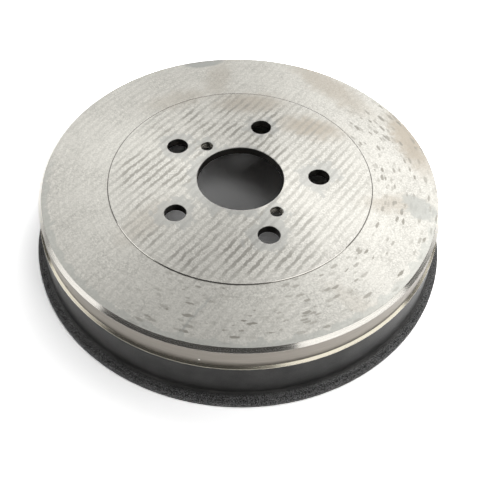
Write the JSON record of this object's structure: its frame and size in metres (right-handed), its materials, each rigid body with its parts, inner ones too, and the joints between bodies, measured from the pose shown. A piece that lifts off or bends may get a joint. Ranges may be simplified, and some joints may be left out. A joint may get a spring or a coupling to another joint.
{
  "type": "brake drum",
  "caption": "Cast iron brake drum with a flat bolted face, a centre bore, stud holes, tapped jacking holes and a turned track for the shoes inside a lipped open end.",
  "frame": {"origin": "centre of the open end, in the plane that the drum stands on", "axes": "+Z along the axle towards the closed face, +X through a stud hole"},
  "size_m": [0.2688, 0.2688, 0.0482],
  "materials": {
    "cast_iron": "grey iron, dry turned on the face, rim band and shoe track, dark as cast on the outer wall and lip"
  },
  "bodies": {
    "root": {"brake_drum": "cast_iron"}
  },
  "joints": []
}
